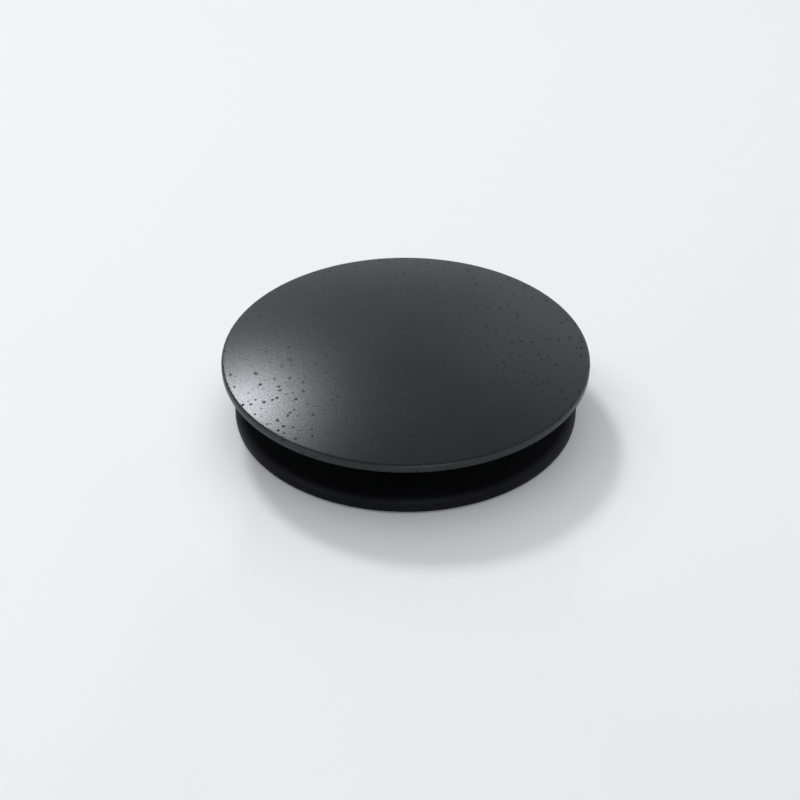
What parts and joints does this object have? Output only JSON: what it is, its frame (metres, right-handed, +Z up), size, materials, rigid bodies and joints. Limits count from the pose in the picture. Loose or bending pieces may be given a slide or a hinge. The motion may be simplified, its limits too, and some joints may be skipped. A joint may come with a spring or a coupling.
{
  "type": "pop-up basin drain",
  "caption": "Pop-up washbasin drain with a domed black cap that pushes down and springs up over a flange, a threaded body with overflow windows, a clamp nut and a tailpiece.",
  "frame": {"origin": "on the drain's axis, at the basin's surface under the flange (the gasket's lower face)", "axes": "+Z up along the drain's axis, out of the basin; +X and +Y across it, through the overflow windows"},
  "size_m": [0.066, 0.066, 0.2149],
  "materials": {
    "black_coating": "satin matte black coating on cast brass",
    "black_rubber": "moulded black rubber",
    "black_plastic": "moulded, fine texture",
    "white_plastic": "natural moulded plastic",
    "brass": "turned",
    "steel": "bright turned or drawn"
  },
  "bodies": {
    "root": {"drain_body": "black_coating", "flange_gasket": "black_rubber", "tailpiece": "black_coating", "tailpiece_seal": "black_rubber", "cartridge_barrel": "brass", "guide_bush": "white_plastic", "rod_seal": "black_rubber", "guide_pin_left": "steel", "guide_pin_right": "steel", "end_plug": "brass", "stud_washer": "steel", "stud_nut": "brass", "return_spring": "steel"},
    "carriage": {"thrust_washer": "steel"},
    "plunger": {"stopper_cap": "black_coating", "seal_carrier": "black_plastic", "cap_seal": "black_rubber", "jam_nut": "brass", "push_rod": "steel", "retaining_clip": "steel"},
    "cam": {"index_cam": "white_plastic"},
    "clamp": {"cone_washer": "black_rubber", "slip_washer": "white_plastic"},
    "nut": {"lock_nut": "brass"}
  },
  "joints": [
    {"name": "pop_slide", "type": "slide", "parent": "root", "child": "carriage", "axis": [0, 0, 1], "range_m": [-0.008, 0], "stiffness_N_per_m": 500, "springref_m": 0.01, "deforming": ["return_spring"]},
    {"name": "cap_spin", "type": "hinge", "parent": "carriage", "child": "plunger", "pos_m": [0, 0, 0.0104], "axis": [0, 0, 1], "continuous": true},
    {"name": "cam_index", "type": "hinge", "parent": "carriage", "child": "cam", "pos_m": [0, 0, -0.0294], "axis": [0, 0, 1], "range_deg": [-26, 0.5]},
    {"name": "clamp_slide", "type": "slide", "parent": "root", "child": "clamp", "axis": [0, 0, 1], "range_m": [-0.0101, 0.0241]},
    {"name": "lock_nut_turn", "type": "hinge", "parent": "clamp", "child": "nut", "pos_m": [0, 0, -0.04956], "axis": [0, 0, 1], "range_deg": [-1559, 3741]}
  ],
  "couplings": [
    {"joint": "cam_index", "follows": "pop_slide", "rad_per_m": 54.978},
    {"joint": "clamp_slide", "follows": "lock_nut_turn", "m_per_rad": 0.00036749}
  ]
}
